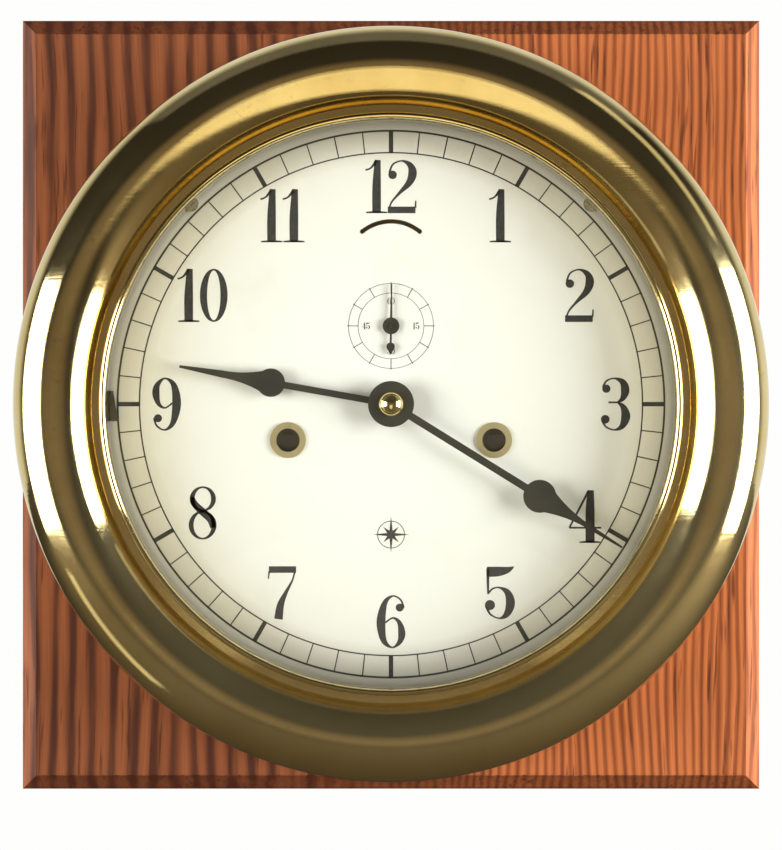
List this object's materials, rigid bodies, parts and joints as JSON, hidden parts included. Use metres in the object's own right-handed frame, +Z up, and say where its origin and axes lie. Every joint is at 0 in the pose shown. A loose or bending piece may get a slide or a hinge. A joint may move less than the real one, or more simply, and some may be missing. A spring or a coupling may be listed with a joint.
{
  "type": "ships deck clock",
  "caption": "Ships deck clock: round brass case on a bevelled square oak board, hinged glazed bezel, silvered dial, spade hands, and a going and striking movement.",
  "frame": {"origin": "on the dial's axis, in the plane of the board's back", "axes": "+Z up through 12 o'clock, +Y into the wall, so the dial faces -Y; +X to the viewer's right"},
  "size_m": [0.2959, 0.0931, 0.304],
  "materials": {
    "oak": "satin stain",
    "polished_brass": "polished",
    "movement_brass": "grained",
    "steel": "turned",
    "blued_steel": "blued",
    "glass": "clear",
    "silvered_dial": "silvered and lacquered"
  },
  "bodies": {
    "clock": {"board": "oak", "hanger_plate": "steel", "hanger_screws": "steel", "case": "polished_brass", "case_screws": "steel", "case_hinge_leaf": "polished_brass", "hinge_pin": "steel", "dial": "silvered_dial", "dial_screws": "steel", "dial_edge_piece": "blued_steel", "winding_grommets": "polished_brass", "front_plate": "movement_brass", "back_plate": "movement_brass", "plate_pillars": "movement_brass", "plate_screws": "blued_steel", "movement_posts": "movement_brass", "clicks": "steel", "balance_cock": "movement_brass", "gong": "blued_steel", "gong_post": "movement_brass"},
    "door": {"bezel": "polished_brass", "glass": "glass", "glass_retainer": "polished_brass", "bezel_hinge_leaf": "polished_brass", "catch_tongue": "polished_brass"},
    "minute_train": {"centre_arbor": "steel", "centre_wheel": "movement_brass", "cannon_pinion": "steel", "minute_hand": "blued_steel", "hand_nut": "polished_brass"},
    "hour_train": {"hour_wheel": "movement_brass", "hour_hand": "blued_steel"},
    "minute_wheel_body": {"minute_wheel": "movement_brass"},
    "third_body": {"third_arbor": "steel", "third_wheel": "movement_brass"},
    "seconds_body": {"fourth_arbor": "steel", "fourth_wheel": "movement_brass", "seconds_hand": "blued_steel"},
    "escape_body": {"escape_arbor": "steel", "escape_wheel": "movement_brass"},
    "time_barrel_body": {"time_barrel": "movement_brass", "time_barrel_cap": "movement_brass", "time_mainspring": "blued_steel"},
    "time_winding_body": {"time_winding_arbor": "steel", "time_ratchet": "steel"},
    "pallet_body": {"pallet_lever": "steel"},
    "balance_body": {"balance_wheel": "movement_brass", "balance_staff": "steel", "hairspring": "blued_steel"},
    "regulator_body": {"regulator": "steel"},
    "pin_wheel_body": {"pin_wheel": "movement_brass", "pin_wheel_arbor": "steel"},
    "strike_barrel_body": {"strike_barrel": "movement_brass", "strike_barrel_cap": "movement_brass", "strike_mainspring": "blued_steel"},
    "strike_winding_body": {"strike_winding_arbor": "steel", "strike_ratchet": "steel"},
    "strike_third_body": {"strike_third_wheel": "movement_brass"},
    "fly_body": {"fly": "steel"},
    "hammer_body": {"hammer": "steel"}
  },
  "joints": [
    {"name": "bezel_door", "type": "hinge", "parent": "clock", "child": "door", "pos_m": [-0.1376, -0.0695, 0], "axis": [0, 0, -1], "range_deg": [0, 110]},
    {"name": "minute_hand_turn", "type": "hinge", "parent": "clock", "child": "minute_train", "pos_m": [0, -0.043, 0], "axis": [0, 1, 0], "continuous": true},
    {"name": "hour_hand_turn", "type": "hinge", "parent": "clock", "child": "hour_train", "pos_m": [0, -0.064, 0], "axis": [0, 1, 0], "continuous": true},
    {"name": "minute_wheel_turn", "type": "hinge", "parent": "clock", "child": "minute_wheel_body", "pos_m": [0, -0.06, -0.0132], "axis": [0, 1, 0], "continuous": true},
    {"name": "third_wheel_turn", "type": "hinge", "parent": "clock", "child": "third_body", "pos_m": [0.01854, -0.043, 0.01962], "axis": [0, 1, 0], "continuous": true},
    {"name": "seconds_hand_turn", "type": "hinge", "parent": "clock", "child": "seconds_body", "pos_m": [0, -0.043, 0.03], "axis": [0, 1, 0], "continuous": true},
    {"name": "escape_wheel_turn", "type": "hinge", "parent": "clock", "child": "escape_body", "pos_m": [-0.01146, -0.043, 0.04093], "axis": [0, 1, 0], "continuous": true},
    {"name": "time_barrel_turn", "type": "hinge", "parent": "clock", "child": "time_barrel_body", "pos_m": [0.0395, -0.04, -0.0138], "axis": [0, 1, 0], "continuous": true, "deforming": ["time_mainspring"]},
    {"name": "time_winding_turn", "type": "hinge", "parent": "clock", "child": "time_winding_body", "pos_m": [0.0395, -0.045, -0.0138], "axis": [0, 1, 0], "range_deg": [0, 2880]},
    {"name": "pallet_lever_rock", "type": "hinge", "parent": "clock", "child": "pallet_body", "pos_m": [-0.00663, -0.047, 0.04589], "axis": [0, 1, 0], "range_deg": [-5, 5]},
    {"name": "balance_swing", "type": "hinge", "parent": "clock", "child": "balance_body", "pos_m": [0, -0.05, 0.0527], "axis": [0, 1, 0], "range_deg": [-220, 220], "deforming": ["hairspring"]},
    {"name": "regulator_turn", "type": "hinge", "parent": "clock", "child": "regulator_body", "pos_m": [0, -0.059, 0.0527], "axis": [0, 1, 0], "range_deg": [-56, 22]},
    {"name": "pin_wheel_turn", "type": "hinge", "parent": "clock", "child": "pin_wheel_body", "pos_m": [-0.00991, -0.043, -0.04339], "axis": [0, 1, 0], "continuous": true},
    {"name": "strike_barrel_turn", "type": "hinge", "parent": "clock", "child": "strike_barrel_body", "pos_m": [-0.0395, -0.04, -0.0138], "axis": [0, 1, 0], "continuous": true, "deforming": ["strike_mainspring"]},
    {"name": "strike_winding_turn", "type": "hinge", "parent": "clock", "child": "strike_winding_body", "pos_m": [-0.0395, -0.045, -0.0138], "axis": [0, 1, 0], "range_deg": [0, 2880]},
    {"name": "strike_third_turn", "type": "hinge", "parent": "clock", "child": "strike_third_body", "pos_m": [0.01264, -0.043, -0.05159], "axis": [0, 1, 0], "continuous": true},
    {"name": "fly_turn", "type": "hinge", "parent": "clock", "child": "fly_body", "pos_m": [0.02074, -0.043, -0.06562], "axis": [0, 1, 0], "continuous": true},
    {"name": "hammer_swing", "type": "hinge", "parent": "clock", "child": "hammer_body", "pos_m": [-0.05, -0.043, -0.058], "axis": [0, 1, 0], "range_deg": [-8, 15]}
  ],
  "couplings": [
    {"joint": "hour_hand_turn", "follows": "minute_hand_turn", "ratio": 0.083333},
    {"joint": "minute_wheel_turn", "follows": "minute_hand_turn", "ratio": -0.33333},
    {"joint": "third_wheel_turn", "follows": "minute_hand_turn", "ratio": -8},
    {"joint": "seconds_hand_turn", "follows": "minute_hand_turn", "ratio": 60},
    {"joint": "escape_wheel_turn", "follows": "minute_hand_turn", "ratio": -600},
    {"joint": "time_barrel_turn", "follows": "minute_hand_turn", "ratio": -0.11111},
    {"joint": "strike_barrel_turn", "follows": "pin_wheel_turn", "ratio": -0.11111},
    {"joint": "strike_third_turn", "follows": "pin_wheel_turn", "ratio": -9},
    {"joint": "fly_turn", "follows": "pin_wheel_turn", "ratio": 72}
  ]
}
